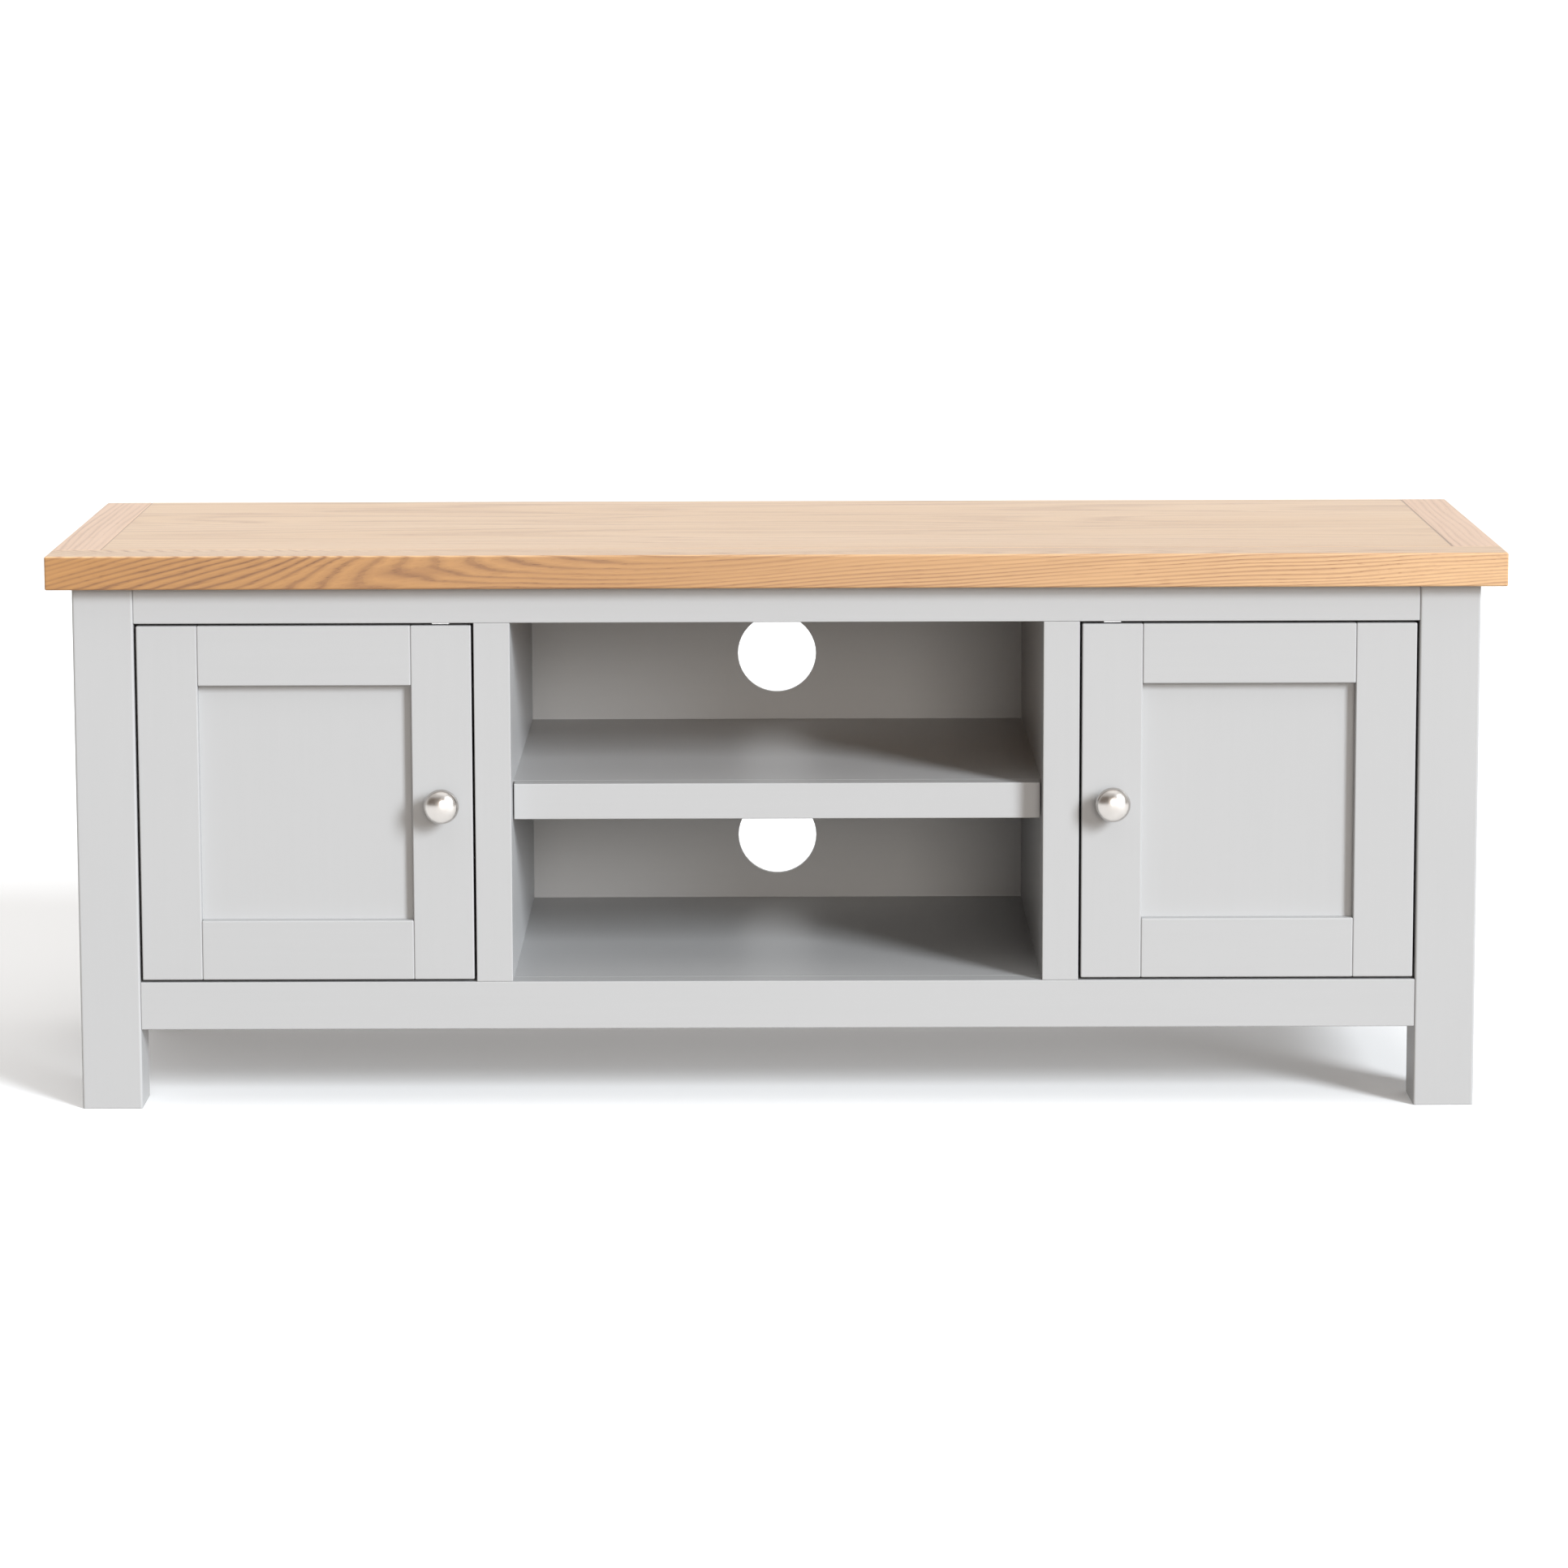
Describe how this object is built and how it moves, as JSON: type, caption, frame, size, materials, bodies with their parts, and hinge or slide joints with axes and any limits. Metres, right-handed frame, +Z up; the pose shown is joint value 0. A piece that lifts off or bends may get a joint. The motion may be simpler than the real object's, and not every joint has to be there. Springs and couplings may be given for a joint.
{
  "type": "media cabinet",
  "caption": "Low painted media cabinet with an oak top, an open middle bay with a shelf and cable holes, and a framed door on each side.",
  "frame": {"origin": "on the floor, at the middle of the whole cabinet's footprint, knobs included", "axes": "+X to the right seen from the front, +Y from the doors to the back, +Z up"},
  "size_m": [1.2, 0.409, 0.466],
  "materials": {
    "grey_paint": "satin light grey paint on wood",
    "oak": "clear satin lacquer on natural oak",
    "beech": "bare beech",
    "brushed_nickel": "brushed nickel",
    "hinge_steel": "nickel-plated steel",
    "zinc_screw": "zinc-plated steel",
    "zinc_plate": "zinc-plated steel sheet",
    "magnet": "plated magnet"
  },
  "bodies": {
    "cabinet": {"back_bottom_rail": "grey_paint", "back_panel": "grey_paint", "back_panel_screws": "zinc_screw", "back_top_rail": "grey_paint", "bottom_board": "grey_paint", "catch_plates": "zinc_plate", "catch_screws": "zinc_screw", "corner_blocks": "beech", "divider_left": "grey_paint", "divider_right": "grey_paint", "face_stile_left": "grey_paint", "face_stile_right": "grey_paint", "front_bottom_rail": "grey_paint", "front_top_rail": "grey_paint", "hinge_arms": "hinge_steel", "hinge_battens": "grey_paint", "hinge_plates": "hinge_steel", "hinge_screws": "zinc_screw", "leg_back_left": "grey_paint", "leg_back_right": "grey_paint", "leg_front_left": "grey_paint", "leg_front_right": "grey_paint", "rail_dowels": "beech", "shelf_board": "grey_paint", "shelf_dowels": "beech", "shelf_lip": "grey_paint", "side_bottom_rails": "grey_paint", "side_panels": "grey_paint", "side_top_rails": "grey_paint", "top_bracket_screws": "zinc_screw", "top_brackets": "zinc_plate", "top_end_boards": "oak", "top_front_strip": "oak", "top_plank_back": "oak", "top_plank_front": "oak", "top_plank_middle": "oak"},
    "left_links": {"left_hinge_links": "hinge_steel", "left_hinge_pins": "hinge_steel"},
    "left_door": {"left_catch_magnet": "magnet", "left_cup_screws": "zinc_screw", "left_door_bottom_rail": "grey_paint", "left_door_hinge_stile": "grey_paint", "left_door_lock_stile": "grey_paint", "left_door_panel": "grey_paint", "left_door_top_rail": "grey_paint", "left_hinge_cups": "hinge_steel", "left_knob": "brushed_nickel", "left_knob_screw": "zinc_screw"},
    "right_links": {"right_hinge_links": "hinge_steel", "right_hinge_pins": "hinge_steel"},
    "right_door": {"right_catch_magnet": "magnet", "right_cup_screws": "zinc_screw", "right_door_bottom_rail": "grey_paint", "right_door_hinge_stile": "grey_paint", "right_door_lock_stile": "grey_paint", "right_door_panel": "grey_paint", "right_door_top_rail": "grey_paint", "right_hinge_cups": "hinge_steel", "right_knob": "brushed_nickel", "right_knob_screw": "zinc_screw"}
  },
  "joints": [
    {"name": "left_link_turn", "type": "hinge", "parent": "cabinet", "child": "left_links", "pos_m": [-0.492, -0.1535, 0.2575], "axis": [0, 0, 1], "range_deg": [0, 30]},
    {"name": "left_door_turn", "type": "hinge", "parent": "left_links", "child": "left_door", "pos_m": [-0.5158, -0.1677, 0.2575], "axis": [0, 0, -1], "range_deg": [0, 122]},
    {"name": "right_link_turn", "type": "hinge", "parent": "cabinet", "child": "right_links", "pos_m": [0.492, -0.1535, 0.2575], "axis": [0, 0, -1], "range_deg": [0, 30]},
    {"name": "right_door_turn", "type": "hinge", "parent": "right_links", "child": "right_door", "pos_m": [0.5158, -0.1677, 0.2575], "axis": [0, 0, 1], "range_deg": [0, 122]}
  ],
  "couplings": [
    {"joint": "left_link_turn", "follows": "left_door_turn", "ratio": 0.2459},
    {"joint": "right_link_turn", "follows": "right_door_turn", "ratio": 0.2459}
  ]
}
